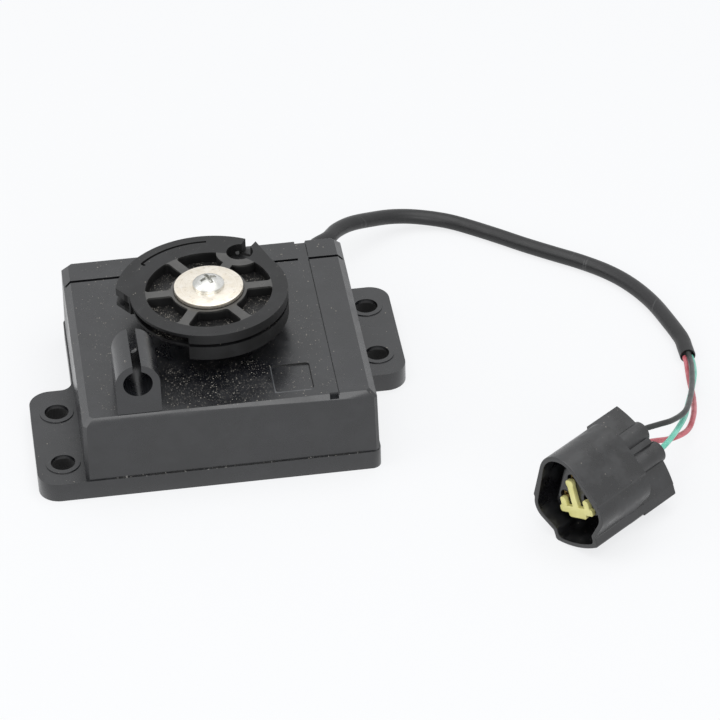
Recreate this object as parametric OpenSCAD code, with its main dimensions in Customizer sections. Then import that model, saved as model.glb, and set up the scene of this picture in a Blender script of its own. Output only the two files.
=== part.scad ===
// Throttle potentiometer: a flat moulded housing with two screw-down ears,
// a spring-loaded cable pulley on top, a cable stop beside it, and a short
// three-wire lead that ends in a sealed plug.
// Millimetres. X runs left to right, Y front to rear, Z up.
// The origin is the centre of the base plate's underside.

/* [Base plate] */
// Width of the base plate without its ears
base_w = 76.6; // [74:0.1:84]
// Depth of the base plate, front to rear
base_d = 72.3; // [71:0.1:84]
// Thickness of the base plate and its ears
base_t = 5.4; // [4.6:0.1:7]
// How far each ear reaches past the base plate
ear_reach = 11.7; // [11:0.1:16]
// Length of each ear, front to rear
ear_len = 40; // [36:0.5:50]
// Corner radius of the ears
ear_r = 5.5; // [3:0.1:6]
// Radius of the fillet where an ear meets the plate
ear_fillet = 3; // [1:0.1:4]
// Radius of the plate's two corners that carry no ear
plate_r = 2.5; // [1.5:0.1:2.8]
// Diameter of the mounting holes
hole_d = 6.3; // [5.2:0.1:7]
// Distance between the two holes of one ear
hole_pitch = 21.6; // [18:0.1:24]
// Distance from a hole's centre to the ear's outer edge
hole_inset = 6.85; // [6:0.05:8]
// Distance from the first hole's centre to the ear's end
hole_end = 8.85; // [7.5:0.05:11]
// Width of the moulded ring round each mounting hole
hole_ring_w = 1.3; // [0.8:0.1:1.6]

/* [Cover] */
// Height of the cover's top face above the mounting surface
top_z = 24.1; // [23.6:0.1:30]
// Thickness of the cover's side walls
wall = 2.5; // [2:0.1:3]
// Thickness of the cover's roof
roof_t = 2.2; // [2:0.1:3]
// Height of the bevel round the top face
bevel_h = 2; // [1:0.1:2.2]
// Width of that bevel on the left and the right
bevel_side = 1.85; // [1:0.05:2.2]
// Width of that bevel at the front and the rear
bevel_end = 1.1; // [0.6:0.05:1.8]
// How far the base plate stands proud of the cover
cover_step = 0.4; // [0.2:0.05:1]
// How far each wall leans in over its height
draft = 0.3; // [0:0.05:0.6]
// Size of the cut along the cover's upright corners
corner_cut = 0.9; // [0.8:0.1:2]
// Distance from the base plate's rear edge to the groove across the roof
groove_back = 10.15; // [9.6:0.05:10.6]
// Width of that groove
groove_w = 1; // [0.6:0.1:1.4]
// Depth of that groove
groove_depth = 1.6; // [1:0.1:1.8]
// Height at which the rear cap meets the cover's rear wall
cap_split_z = 12; // [11.8:0.1:13]
// Distance from the centre to the fine line along the roof
line_x = 27.9; // [26:0.1:31]
// Width of the tab that bridges the groove beside that line
tab_w = 2.8; // [2:0.1:4]
// Width of the bare recessed panel on the roof
panel_w = 9.9; // [8:0.1:11]
// Length of that panel
panel_len = 11.4; // [9:0.1:13]
// Depth of that panel
panel_depth = 0.4; // [0.2:0.05:0.6]

/* [Cable stop] */
// Diameter of the bore for the cable's end ferrule
stop_bore_d = 7.5; // [6:0.1:8]
// Wall round that bore
stop_wall = 1.9; // [1.6:0.1:2.4]
// Length of the cable stop along the cable
stop_len = 16.2; // [14:0.1:18]
// Thickness of the end wall that the ferrule bears on
stop_end_t = 1.3; // [1:0.1:2]
// Width of the slot for the inner cable
stop_slot = 2.2; // [1.8:0.1:2.6]

/* [Pulley] */
// Place of the pulley's axis, left to right
pulley_x = -1.2; // [-2:0.1:1]
// Place of the pulley's axis, front to rear
pulley_y = -1; // [-2:0.1:1]
// Gap between the roof and the pulley
pulley_gap = 5; // [4.6:0.1:7]
// Thickness of the pulley's rim
pulley_t = 7.5; // [7:0.1:9]
// Radius of the plain part of the rim
pulley_r = 20.5; // [19.5:0.1:20.7]
// Radius of the floor of the cable groove
cable_floor_r = 20.8; // [20.7:0.1:21]
// How far the guard flanges reach past that floor
guard_reach = 3.4; // [2.6:0.1:3.6]
// Width of the cable groove
cable_groove_w = 2.2; // [1.6:0.1:2.4]
// Diameter of the inner cable that runs in the groove
cable_d = 1.8; // [1.2:0.1:2]
// Thickness of the upper flange
flange_t = 2.2; // [1.8:0.1:2.6]
// Inner radius of the windows
window_in = 9.9; // [9.6:0.1:10.6]
// Outer radius of the windows
window_out = 16.5; // [15:0.1:16.8]
// Width of the spokes between the windows
spoke_w = 2.7; // [2:0.1:4]
// Depth of the windows
window_depth = 3; // [2:0.1:3.4]
// Radius of the windows' corners
window_r = 0.9; // [0.4:0.1:1.2]
// Radius of the pocket for the cable's nipple
pocket_r = 3.5; // [2.8:0.1:3.7]
// Distance from the axis to that pocket
pocket_at_r = 18.2; // [17.8:0.1:18.4]
// Width of the curved slit over the cable
slit_w = 0.7; // [0.4:0.1:0.9]
// How far the pulley turns, in degrees
pulley_travel = 75; // [40:1:75]

/* [Shaft] */
// Diameter of the shaft in its bush
shaft_d = 8; // [7:0.1:8.4]
// Wall of the bush
bush_wall = 1.45; // [1.2:0.05:1.6]
// Running clearance between shaft and bush, on the radius
shaft_play = 0.05; // [0.02:0.01:0.08]
// Outer radius of the collar under the pulley
collar_r = 9; // [8.8:0.1:9.4]
// Diameter of the pulley's washer
washer_d = 18; // [16:0.1:18.4]
// Thickness of that washer
washer_t = 1.2; // [0.8:0.1:1.6]
// Diameter of the pulley screw's head
head_d = 8.2; // [7:0.1:9]
// Height of that head
head_h = 2.6; // [2:0.1:3.2]
// Diameter of that screw's thread
thread_d = 4; // [3:0.1:4]
// Diameter of the return spring's wire
spring_wire = 1.2; // [0.8:0.1:1.2]

/* [Lead] */
// Diameter of the lead's jacket
jacket_d = 4.2; // [3.6:0.1:4.6]
// Diameter of each wire
wire_d = 1.5; // [1.2:0.1:1.6]
// Place of the lead's exit, left to right
exit_x = 30; // [29.6:0.1:30.4]
// Height of the lead's exit
exit_z = 12; // [12:0.1:12]

/* [Plug] */
// Length of the plug
plug_len = 29.8; // [28.5:0.1:32]
// Length of its shroud
shroud_len = 18.3; // [17.5:0.1:20]
// Wall of the shroud
shroud_wall = 1.3; // [1:0.1:1.6]
// Depth of the shroud's hollow
shroud_depth = 13; // [11:0.1:15]
// How far the plug's inner block stands back from the mouth
tower_back = 3.9; // [3.6:0.1:5]
// Radius of the contact cavities
cavity_r = 1.4; // [1.2:0.05:1.6]

/* [Hidden] */
$fn = 64;

plastic = [0.13, 0.13, 0.135];
dark_rubber = [0.08, 0.08, 0.08];
zinc = [0.86, 0.84, 0.74];
steel = [0.72, 0.72, 0.73];
brass = [0.78, 0.62, 0.3];

eps = 0.01;
seat_gap = 0.1;

// Outline of the cover at its foot and under its bevel, as half sizes
foot_x = base_w / 2 - cover_step;
foot_y = base_d / 2 - cover_step;
shoulder_x = foot_x - draft;
shoulder_y = foot_y - draft;
shoulder_z = top_z - bevel_h;
crown_x = shoulder_x - bevel_side;
crown_y = shoulder_y - bevel_end;
room_x = shoulder_x - wall + 0.1;
room_y = shoulder_y - wall + 0.1;
room_z = top_z - roof_t;
groove_y = base_d / 2 - groove_back;
line_w = 0.25;

// Seal between the base plate and the cover
seal_w = 1.6;
seal_h = 1;
seal_x = foot_x - wall / 2;
seal_y = foot_y - wall / 2;
rim_t = 1.6;
rim_h = 2;

// Screw posts and screws of the base plate
post_r = 3.6;
post_x = room_x - 5.6;
post_y = room_y - 5.6;
post_top = cap_split_z - 1;
screw_d = 2.9;
screw_head_r = 2.9;
screw_head_h = 1.8;
screw_sink = 2.2;
screw_reach = post_top - 0.8;
post_rib_w = 1.6;

// Ears and mounting holes
ear_x = base_w / 2 + ear_reach;
ear_y0 = -base_d / 2;
hole_x = ear_x - hole_inset;
hole_y0 = ear_y0 + hole_end;
hole_ring_h = 0.25;

// Heights of the pulley stack
collar_top = top_z + pulley_gap - 1.7;
thrust_t = 0.8;
hub_z = collar_top + seat_gap + thrust_t;
pulley_z = top_z + pulley_gap;
pulley_top = pulley_z + pulley_t;
groove_top = pulley_top - flange_t;
cable_z = groove_top - cable_groove_w / 2;
cable_r = cable_floor_r + cable_d / 2;
guard_r = cable_floor_r + guard_reach;
guard_z = cable_z - cable_groove_w / 2 - 1;
cutback_r = window_out + 1;
cutback_rim = 0.8;
cutback_h = 2.6;
thin_flange_r = pulley_r - 0.7;
thin_flange_t = 0.8;
void_r = window_in + 1.6;
part_groove_top = pulley_top - 2.7;
part_groove_h = 0.9;
part_groove_depth = 1.2;
hub_r = 7.5;
relief_h = 1.9;

// Angles on the pulley, counted from +X
ramp_a = 31;
mouth_a0 = 53.2;
mouth_a1 = 60.3;
pocket_a = 57.4;
pocket_wall = 2.7;
cable_a0 = 62;
guard_a1 = 169;
guard_foot_a = 180.5;
void_a0 = 165;
cutback_a1 = 249;
slit_a0 = 85.6;
slit_a1 = 138.5;
slit_foot = 1.2;

// Cable stop
stop_x = pulley_x - cable_r;
stop_r = stop_bore_d / 2 + stop_wall;
stop_y0 = -crown_y + 0.15;
stop_corner = 3;

// Shaft, bush and seal
shaft_r = shaft_d / 2;
bush_in = shaft_r + shaft_play;
bush_out = bush_in + bush_wall;
bush_z0 = room_z - 9.5;
bush_z1 = top_z + 0.9;
boss_r = 8.6;
seal_out = 7;
seal_lip = 0.15;
neck_r = shaft_r - 1;
neck_z = pulley_z + 2.2;
neck_flat = neck_r - 0.6;
shaft_top = pulley_top - 0.2;
shaft_z0 = 8;
foot_flat = shaft_r - 0.8;
ring_groove_r = shaft_r - 0.7;
ring_t = 0.7;
ring_z = bush_z0 - seat_gap - ring_t;
ring_r = 7;
tap_depth = 11.3;
screw_tap_z = shaft_top - tap_depth;
screw_end_z = screw_tap_z + 0.7;
thread_play = 0.03;
fit_gap = 0.03;

// Sensing parts under the shaft
board_z = base_t + 1;
board_t = 1;
board_x0 = -22;
board_x1 = 33;
board_y = groove_y - 4;
track_radii = [8.6, 11.4];
carrier_z = board_z + board_t + 1.4;
carrier_t = 1.6;
carrier_r = 14;
carrier_hub_z = ring_z - 0.15;
arm_w = 5;
arm_r = 17.5;
arm_a = 270;
stop_rib_in = 15.2;
stop_rib_out = 19.2;
stop_rib_w = 3;
stop_rib_angle = asin((arm_w + stop_rib_w) / 2 / stop_rib_in) + 2;
spring_r = boss_r + 0.3 + spring_wire / 2;
spring_z0 = bush_z0 + 0.8;
spring_z1 = room_z - 2.4;
spring_turns = 4;
spring_steps = 16;
pin_y = board_y - 3;
pin_pitch = 2.4;
pin_w = 0.8;
pin_top = exit_z + 1;
pin_exit_z = exit_z + 0.6;

// Grommet
grommet_r = 3.6;
grommet_flange_r = 4.4;
grommet_nose_len = 5;
grommet_y0 = room_y - 1.6;
wall_out_y = foot_y - draft * (exit_z - base_t) / (shoulder_z - base_t);

// Route of the jacket, from inside the rear wall to its cut end
jacket_route = [
    [exit_x, grommet_y0, exit_z], [exit_x, 37, exit_z], [exit_x, 43.8, exit_z],
    [31.8, 48.2, 11.8], [34, 50.6, 11.5], [36.5, 53, 11], [38.7, 56.5, 10.5], [41.7, 59.7, 9.8],
    [45, 62.3, 8.9], [49.8, 65.2, 7.4], [55.4, 68.2, 5.6], [61.1, 69.5, 4.2], [67, 69.2, 3.1],
    [72.6, 67.5, 2.4], [78, 64.1, 2.1], [84.7, 58.7, 2.1], [91.3, 53.1, 2.1], [98.2, 47.7, 2.1],
    [105.1, 42.4, 2.1], [111.5, 36.3, 2.1], [116.5, 29.3, 2.1], [120.5, 20.6, 2.1],
    [123.2, 10.8, 2.1], [124.9, 3, 2.1], [125, -0.5, 2.1], [125, -5.1, 2.1]];
// Routes of the wires, from the jacket's cut end to the plug
black_route = [
    [125, -5.1, 3.1], [125, -7.2, 3.1], [124.4, -12, 4.5], [123.5, -16.8, 5.8],
    [121.8, -24.8, 7.9], [119.3, -33.9, 10.4], [116, -42.9, 13.2], [111.6, -48.6, 15.3],
    [107.4, -51.7, 16.8]];
green_route = [
    [125.8, -5.1, 1.7], [125.8, -7.2, 1.7], [125.3, -11.3, 2.4], [124.2, -16.4, 3.6],
    [121.7, -24.8, 5.6], [119.2, -32.3, 7.4], [116.4, -40.8, 9.8], [112.9, -48.3, 11.9],
    [109.6, -54.1, 13.3]];
red_route = [
    [124.2, -5.1, 1.7], [124.2, -7.2, 1.7], [123.8, -11, 1.4], [123.1, -16.6, 2],
    [122.1, -25.6, 3.6], [120.2, -34.6, 5.3], [116.9, -42.6, 6.8], [111.9, -47.1, 8.2],
    [106.4, -49.5, 9.8]];

// Pose of the plug: its mouth's middle, its turn and its roll
plug_yaw = 38;
plug_roll = 19.3;
plug_at = [79, -74.9];
// Outline of the plug's shroud: a round top, leaning sides, two side lobes and a skirt
crown_mid = [0, 5.95];
crown_r = 7;
side_a = 31;
crease = [11.2, 0.9];
lobe_mid = [6.8, -2.3];
lobe_r = 4.9;
lobe_a0 = 30;
lobe_a1 = -46;
skirt_w = 7.3;
skirt_neck = -8.9;
skirt_foot = -11.7;
skirt_low = -12.7;
skirt_cut = 0.5;
bow_h = skirt_foot - skirt_low;
bow_r = (pow(skirt_w - skirt_cut, 2) + pow(bow_h, 2)) / (2 * bow_h);
// The plug lies on the lowest point of its skirt
plug_z = -min([for (q = mirrored(shroud_half(0))) q[0] * sin(plug_roll) + q[1] * cos(plug_roll)]);
// Outline of the inner block: three equal circles
tower_top = 5.3;
tower_side = 4.7;
tower_low = -2.3;
tower_r = 2.6;
cavities = [[0, 4.6], [4, -0.4], [-4, -0.4]];
seat_lobe_r = 2.85;
seat_lobe_len = 0.5;
saddle_r = 26.7;
saddle_at = [-19.1, -11.7];
wire_seal_r = 2.1;
wire_seal_len = 5;
retainer_t = 1.2;
contact_r = 1.2;
contact_len = 20;

function polar(r, a) = [r * cos(a), r * sin(a)];
function unit(v) = v / norm(v);
// Angle of the outward side of an edge that runs along d, clockwise round a shape
function outward(d) = atan2(d[0], -d[1]);

// A flat sector from angle a0 to a1, wide enough to pass radius r everywhere
module sector(a0, a1, r) {
    parts = ceil((a1 - a0) / 30);
    polygon(concat([[0, 0]], [for (i = [0:parts]) polar(1.2 * r, a0 + (a1 - a0) * i / parts)]));
}

// A flat ring between two radii
module ring(inner, outer) {
    difference() {
        circle(outer);
        circle(inner);
    }
}

// A flat rectangle with cut corners, given by its half sizes
module cut_rect(hx, hy, c) {
    polygon([
        [hx - c, -hy], [hx, c - hy], [hx, hy - c], [hx - c, hy],
        [c - hx, hy], [-hx, hy - c], [-hx, c - hy], [c - hx, -hy]]);
}

// A flat rectangle with round corners
module round_rect(w, h, r) {
    translate([r, 0]) square([w - 2 * r, h]);
    translate([0, r]) square([w, h - 2 * r]);
    for (x = [r, w - r], y = [r, h - r]) translate([x, y]) circle(r);
}

// A round bar with one flat
module flat_bar(r, flat) {
    intersection() {
        circle(r);
        translate([-r, -r]) square([r + flat, 2 * r]);
    }
}

// A tube's rings along a list of points; each ring stands square to the path
function path_dir(p, i) = unit(p[min(i + 1, len(p) - 1)] - p[max(i - 1, 0)]);
function path_ring(p, i, r, up, sides) =
    let (t = path_dir(p, i), a = unit(up - t * (t * up)), b = cross(t, a))
    [for (k = [0:sides - 1]) p[i] + r * (a * cos(360 * k / sides) + b * sin(360 * k / sides))];

module path_tube(p, r, ups, sides = 8) {
    n = len(p);
    points = [for (i = [0:n - 1]) each path_ring(p, i, r, ups[min(i, len(ups) - 1)], sides)];
    walls = [for (i = [0:n - 2], k = [0:sides - 1])
        let (a = i * sides + k, b = i * sides + (k + 1) % sides)
        [a, b, b + sides, a + sides]];
    start = [for (k = [sides - 1:-1:0]) k];
    finish = [for (k = [0:sides - 1]) (n - 1) * sides + k];
    polyhedron(points, concat(walls, [start, finish]), convexity = 10);
}

module at_pulley() {
    translate([pulley_x, pulley_y, 0]) children();
}

module at_posts() {
    for (x = [-post_x, post_x], y = [-post_y, post_y]) translate([x, y, 0]) children();
}

// Places of the four mounting holes: two on each ear, the right ear turned half round
module at_holes() {
    for (turn = [0, 180], i = [0, 1])
        rotate(turn) translate([-hole_x, hole_y0 + i * hole_pitch, 0]) children();
}

// One ear on the left with its outer corners round and its rear corner filleted
module ear_shape() {
    w = ear_reach + ear_r;
    translate([-ear_x, ear_y0]) {
        translate([ear_r, 0]) square([w - ear_r, ear_len]);
        translate([0, ear_r]) square([w, ear_len - 2 * ear_r]);
        for (y = [ear_r, ear_len - ear_r]) translate([ear_r, y]) circle(ear_r);
        translate([ear_reach - ear_fillet, ear_len]) difference() {
            square(ear_fillet + eps);
            translate([0, ear_fillet]) circle(ear_fillet);
        }
    }
}

module plate_shape() {
    difference() {
        square([base_w, base_d], center = true);
        for (turn = [0, 180]) rotate(turn) translate([base_w / 2 - plate_r, plate_r - base_d / 2])
            difference() {
                translate([0, -plate_r - eps]) square(plate_r + eps);
                circle(plate_r);
            }
    }
    for (turn = [0, 180]) rotate(turn) ear_shape();
}

module base_plate() color(plastic) {
    difference() {
        union() {
            linear_extrude(base_t) plate_shape();
            translate([0, 0, base_t]) linear_extrude(rim_h) difference() {
                cut_rect(room_x - 0.2, room_y - 0.2, corner_cut);
                cut_rect(room_x - 0.2 - rim_t, room_y - 0.2 - rim_t, corner_cut);
            }
            for (x = [board_x0 + 3, board_x1 - 3], y = [3 - board_y, board_y - 3])
                translate([x, y, base_t]) cylinder(h = board_z - base_t, r = 2.5);
            at_holes() translate([0, 0, base_t]) linear_extrude(hole_ring_h)
                ring(hole_d / 2, hole_d / 2 + hole_ring_w);
        }
        at_holes() translate([0, 0, -1]) cylinder(h = base_t + 3, d = hole_d);
        at_posts() {
            translate([0, 0, -1]) cylinder(h = base_t + 2, r = screw_d / 2 + 0.25);
            translate([0, 0, -1]) cylinder(h = screw_sink + 1, r = screw_head_r + 0.3);
        }
        translate([0, 0, base_t - seal_h]) linear_extrude(seal_h + eps) seal_shape();
    }
}

module seal_shape() {
    difference() {
        cut_rect(seal_x + seal_w / 2, seal_y + seal_w / 2, corner_cut);
        cut_rect(seal_x - seal_w / 2, seal_y - seal_w / 2, corner_cut);
    }
}

module base_seal() color(dark_rubber) {
    translate([0, 0, base_t - seal_h]) linear_extrude(seal_h) seal_shape();
}

module base_screws() color(steel) {
    at_posts() difference() {
        union() {
            translate([0, 0, screw_sink - screw_head_h]) cylinder(h = screw_head_h, r = screw_head_r);
            translate([0, 0, screw_sink]) cylinder(h = screw_reach - screw_sink, d = screw_d);
        }
        for (turn = [0, 90]) rotate(turn)
            translate([-1.6, -0.3, screw_sink - screw_head_h - eps]) cube([3.2, 0.6, 0.9]);
    }
}

// Outside of the cover: leaning walls, cut corners and a bevelled top
module cover_form() {
    hull() {
        translate([0, 0, base_t]) linear_extrude(eps) cut_rect(foot_x, foot_y, corner_cut);
        translate([0, 0, shoulder_z]) linear_extrude(eps) cut_rect(shoulder_x, shoulder_y, corner_cut);
        translate([0, 0, top_z - eps]) linear_extrude(eps) cut_rect(crown_x, crown_y, corner_cut);
    }
}

// Space that the rear cap takes
module cap_space() {
    translate([-base_w, groove_y + groove_w / 2, cap_split_z])
        cube([2 * base_w, base_d, top_z]);
}

// Open inside of the cover, under the roof
module room() {
    translate([0, 0, base_t - 1]) linear_extrude(room_z - base_t + 1)
        cut_rect(room_x, room_y, corner_cut);
}

module grommet_hole() {
    translate([exit_x, room_y - 1, exit_z]) rotate([-90, 0, 0]) cylinder(h = wall + 4, r = grommet_r);
}

// Solid of the cable stop, lying along Y with its front face at y = 0
module stop_block() {
    intersection() {
        rotate([90, 0, 0]) translate([0, 0, -stop_len]) linear_extrude(stop_len) {
            translate([0, cable_z]) circle(stop_r);
            translate([-stop_r, top_z]) square([2 * stop_r, cable_z - top_z]);
        }
        linear_extrude(2 * cable_z) {
            translate([-stop_r, 0]) square([2 * stop_r, stop_len - stop_corner]);
            translate([-stop_r + stop_corner, 0]) square([2 * (stop_r - stop_corner), stop_len]);
            for (side = [-1, 1])
                translate([side * (stop_r - stop_corner), stop_len - stop_corner]) circle(stop_corner);
        }
    }
}

// Bore, rounded slot and open top of the cable stop
module stop_cuts() {
    translate([0, -1, cable_z]) rotate([-90, 0, 0])
        cylinder(h = stop_len - stop_end_t + 1, d = stop_bore_d);
    translate([0, -1, cable_z]) rotate([-90, 0, 0]) cylinder(h = stop_len + 2, d = stop_slot);
    translate([-stop_slot / 2, -1, cable_z]) cube([stop_slot, stop_len + 2, 2 * stop_r]);
}

// Wall between the working room and the lead's room, with a window for the leads
module bulkhead() {
    depth = 2;
    y0 = groove_y + groove_w / 2 - depth;
    difference() {
        translate([-room_x - 0.5, y0, base_t + rim_h + 0.2])
            cube([2 * room_x + 1, depth, room_z - base_t - rim_h]);
        translate([exit_x - 4.4, y0 - 1, exit_z - 1.5]) cube([8.8, depth + 2, 6]);
    }
}

// Ribs that the wiper carrier's arm meets at each end of its travel
module travel_stops() {
    for (a = [arm_a - stop_rib_angle, arm_a + pulley_travel + stop_rib_angle])
        at_pulley() rotate(a) translate([stop_rib_in, -stop_rib_w / 2, carrier_z + 0.2])
            cube([stop_rib_out - stop_rib_in, stop_rib_w, room_z - carrier_z]);
}

// Ribs that tie each screw post to the walls; the one beside the lead has no rib to the rear wall
module post_ribs() {
    z0 = base_t + rim_h + 0.2;
    rib_x = room_x + 0.5 - post_x;
    rib_y = room_y + 0.5 - post_y;
    for (sx = [-1, 1], sy = [-1, 1]) translate([sx * post_x, sy * post_y, (z0 + post_top) / 2]) {
        translate([sx * rib_x / 2, 0, 0]) cube([rib_x, post_rib_w, post_top - z0], center = true);
        if (sx < 0 || sy < 0)
            translate([0, sy * rib_y / 2, 0]) cube([post_rib_w, rib_y, post_top - z0], center = true);
    }
}

// Fine line along the roof, and the notch beside it in the front edge
module roof_line() {
    translate([line_x - line_w / 2, -crown_y - 0.4, top_z - 0.5])
        cube([line_w, groove_y + crown_y + 0.4, 1]);
    translate([line_x - 2.4, -crown_y - 1.2, top_z - 1.3]) cube([2.3, 1.65, 3]);
}

module housing_cover() color(plastic) {
    panel_x = 12.1;
    panel_y = -31.4;
    difference() {
        union() {
            difference() {
                cover_form();
                room();
            }
            at_pulley() {
                translate([0, 0, bush_z0]) cylinder(h = room_z - bush_z0 + 1, r = boss_r);
                translate([0, 0, room_z]) cylinder(h = collar_top - room_z, r = collar_r);
            }
            at_posts() translate([0, 0, base_t]) cylinder(h = post_top - base_t, r = post_r);
            for (x = [-post_x, post_x]) translate([x, -post_y, post_top - eps])
                cylinder(h = room_z - post_top + 1, r = post_r);
            post_ribs();
            bulkhead();
            travel_stops();
        }
        cap_space();
        translate([-base_w, groove_y - groove_w / 2, top_z - groove_depth])
            cube([2 * base_w, groove_w, top_z]);
        grommet_hole();
        at_posts() translate([0, 0, base_t - 1])
            cylinder(h = screw_reach - base_t + 1.3, d = screw_d + 0.1);
        at_pulley() {
            translate([0, 0, bush_z0 - 1]) cylinder(h = bush_z1 - bush_z0 + 1, r = bush_out);
            translate([0, 0, bush_z1]) cylinder(h = 9, r = seal_out);
        }
        translate([panel_x, panel_y, top_z - panel_depth]) linear_extrude(1)
            round_rect(panel_w, panel_len, 1);
        roof_line();
    }
}

module cable_stop() color(plastic) {
    translate([stop_x, stop_y0, 0]) difference() {
        stop_block();
        stop_cuts();
    }
}

module rear_cap() color(plastic) {
    difference() {
        union() {
            intersection() {
                difference() {
                    cover_form();
                    room();
                }
                cap_space();
            }
            translate([line_x - tab_w, groove_y - groove_w / 2, top_z - groove_depth])
                cube([tab_w, groove_w + 0.5, groove_depth]);
        }
        grommet_hole();
        translate([line_x - tab_w, crown_y - 1, top_z - 1.2]) cube([tab_w, 5, 2]);
        translate([line_x - line_w / 2, groove_y + groove_w, top_z - 0.5])
            cube([line_w, crown_y - groove_y, 1]);
    }
}

module shaft_bush() color(brass) {
    at_pulley() translate([0, 0, bush_z0]) linear_extrude(bush_z1 - bush_z0) ring(bush_in, bush_out);
}

module shaft_seal() color(dark_rubber) {
    at_pulley() translate([0, 0, bush_z1]) rotate_extrude() polygon([
        [shaft_r + seal_lip, 0], [seal_out, 0], [seal_out, 2.1], [seal_out - 1.4, 2.1],
        [seal_out - 1.4, 0.8], [shaft_r + 1.2, 0.8], [shaft_r + seal_lip, 2.1]]);
}

// Torsion spring round the boss, with one leg up to the roof and one down to the carrier
module return_spring() color(steel) {
    count = spring_turns * spring_steps;
    coil = [for (i = [0:count])
        concat(polar(spring_r, 360 * i / spring_steps),
            spring_z0 + (spring_z1 - spring_z0) * i / count)];
    foot = concat(polar(spring_r, 0), carrier_z + carrier_t + 0.3);
    head = concat(polar(spring_r, 0), room_z - 0.3);
    ups = [for (i = [-1:count + 1]) concat(polar(1, 360 * max(0, min(i, count)) / spring_steps), 0)];
    at_pulley() path_tube(concat([foot], coil, [head]), spring_wire / 2, ups);
}

module resistance_board() color([0.25, 0.3, 0.22]) {
    translate([0, 0, board_z]) linear_extrude(board_t) difference() {
        translate([board_x0, -board_y]) square([board_x1 - board_x0, 2 * board_y]);
        translate([pulley_x, pulley_y]) circle(shaft_r + 1);
    }
}

module terminal_pins() color(brass) {
    for (i = [-1:1])
        translate([exit_x + i * pin_pitch - pin_w / 2, pin_y - pin_w / 2, board_z + board_t])
            cube([pin_w, pin_w, pin_top - board_z - board_t]);
}

// Three short leads from the jacket's inner end to the pins
module inner_leads() color([0.5, 0.2, 0.2]) {
    for (i = [-1:1]) {
        x0 = exit_x + i * 0.85 * wire_d;
        x1 = exit_x + i * pin_pitch;
        z0 = exit_z + (i == 0 ? 0.85 * wire_d : 0);
        path_tube([
            [x0, grommet_y0, z0], [x0, grommet_y0 - 1.5, z0], [x0, grommet_y0 - 3.2, z0 + 1],
            [(x0 + x1) / 2, groove_y - 0.5, z0 + 1.8], [x1, pin_y + 3.4, exit_z + 1.4],
            [x1, pin_y + 1.6, pin_exit_z], [x1, pin_y + pin_w / 2, pin_exit_z]],
            wire_d / 2, [[0, 0, 1]]);
    }
}

// Outline of the rim with its guards over the cable
module rim_shape() {
    circle(pulley_r);
    intersection() {
        circle(guard_r);
        polygon(concat(
            [[0, 0], polar(pulley_r, ramp_a), polar(guard_r, mouth_a0)],
            [for (a = [60:25:160]) polar(2 * guard_r, a)],
            [polar(guard_r, guard_a1), polar(pulley_r - 0.5, guard_foot_a + 2)]));
    }
}

// What a round corner leaves over where a spoke meets the inner (-1) or outer (1) end of a window
module corner_rest(end_r, side) {
    steps = 4;
    h = spoke_w / 2;
    mid_r = end_r - side * window_r;
    mid_a = asin((h + window_r) / mid_r);
    mid = polar(mid_r, mid_a);
    sweep = side > 0 ? mid_a + 90 : mid_a - 90;
    polygon(concat([[mid[0], h - 0.3]],
        [for (k = [0:steps]) mid + polar(window_r, -90 + sweep * k / steps)],
        [polar(end_r + side, mid_a), [end_r + side, h - 0.3]]));
}

// Six windows between spokes, clear of the wall round the nipple pocket
module window_shape() {
    difference() {
        ring(window_in, window_out);
        for (k = [0:2]) rotate(60 * k) square([3 * window_out, spoke_w], center = true);
        for (k = [0:5], flip = [0, 180]) rotate([flip, 0, 60 * k]) {
            corner_rest(window_in, -1);
            corner_rest(window_out, 1);
        }
        translate(polar(pocket_at_r, pocket_a)) circle(pocket_r + pocket_wall);
    }
}

// Curved slit over the cable, with a short foot at its left end
module slit_shape() {
    mid_r = cable_r - 0.2;
    intersection() {
        ring(mid_r - slit_w / 2, mid_r + slit_w / 2);
        sector(slit_a0, slit_a1, guard_r);
    }
    rotate(slit_a1) translate([mid_r - slit_foot, -slit_w / 2]) square([slit_foot, slit_w]);
}

// Pocket that the cable's nipple drops into, open to the rim
module pocket_shape() {
    translate(polar(pocket_at_r, pocket_a)) circle(pocket_r);
    polygon([
        polar(pocket_at_r, mouth_a0), polar(2 * guard_r, mouth_a0),
        polar(2 * guard_r, mouth_a1), polar(pocket_at_r, mouth_a1)]);
}

// Open part of the rim beside the cable's run: a deep groove under a thin lip, and below it
// the hollow that leaves the cable's stop clear
module cutback() {
    lip_z = pulley_top - cutback_rim;
    flange_z = lip_z - cutback_h - thin_flange_t;
    translate([0, 0, lip_z - cutback_h]) linear_extrude(cutback_h) difference() {
        sector(guard_foot_a, cutback_a1, pulley_r + 1);
        circle(cutback_r);
    }
    translate([0, 0, flange_z - eps]) linear_extrude(thin_flange_t + 2 * eps) difference() {
        sector(guard_foot_a, cutback_a1, pulley_r + 1);
        circle(thin_flange_r);
    }
    translate([0, 0, pulley_z - 1]) linear_extrude(flange_z - pulley_z + 1) difference() {
        sector(guard_foot_a, cutback_a1, pulley_r + 1);
        circle(void_r);
    }
    translate([0, 0, pulley_z - 1]) linear_extrude(guard_z - pulley_z + 1) difference() {
        sector(void_a0, guard_foot_a + 1, pulley_r + 1);
        circle(void_r);
    }
}

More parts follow.
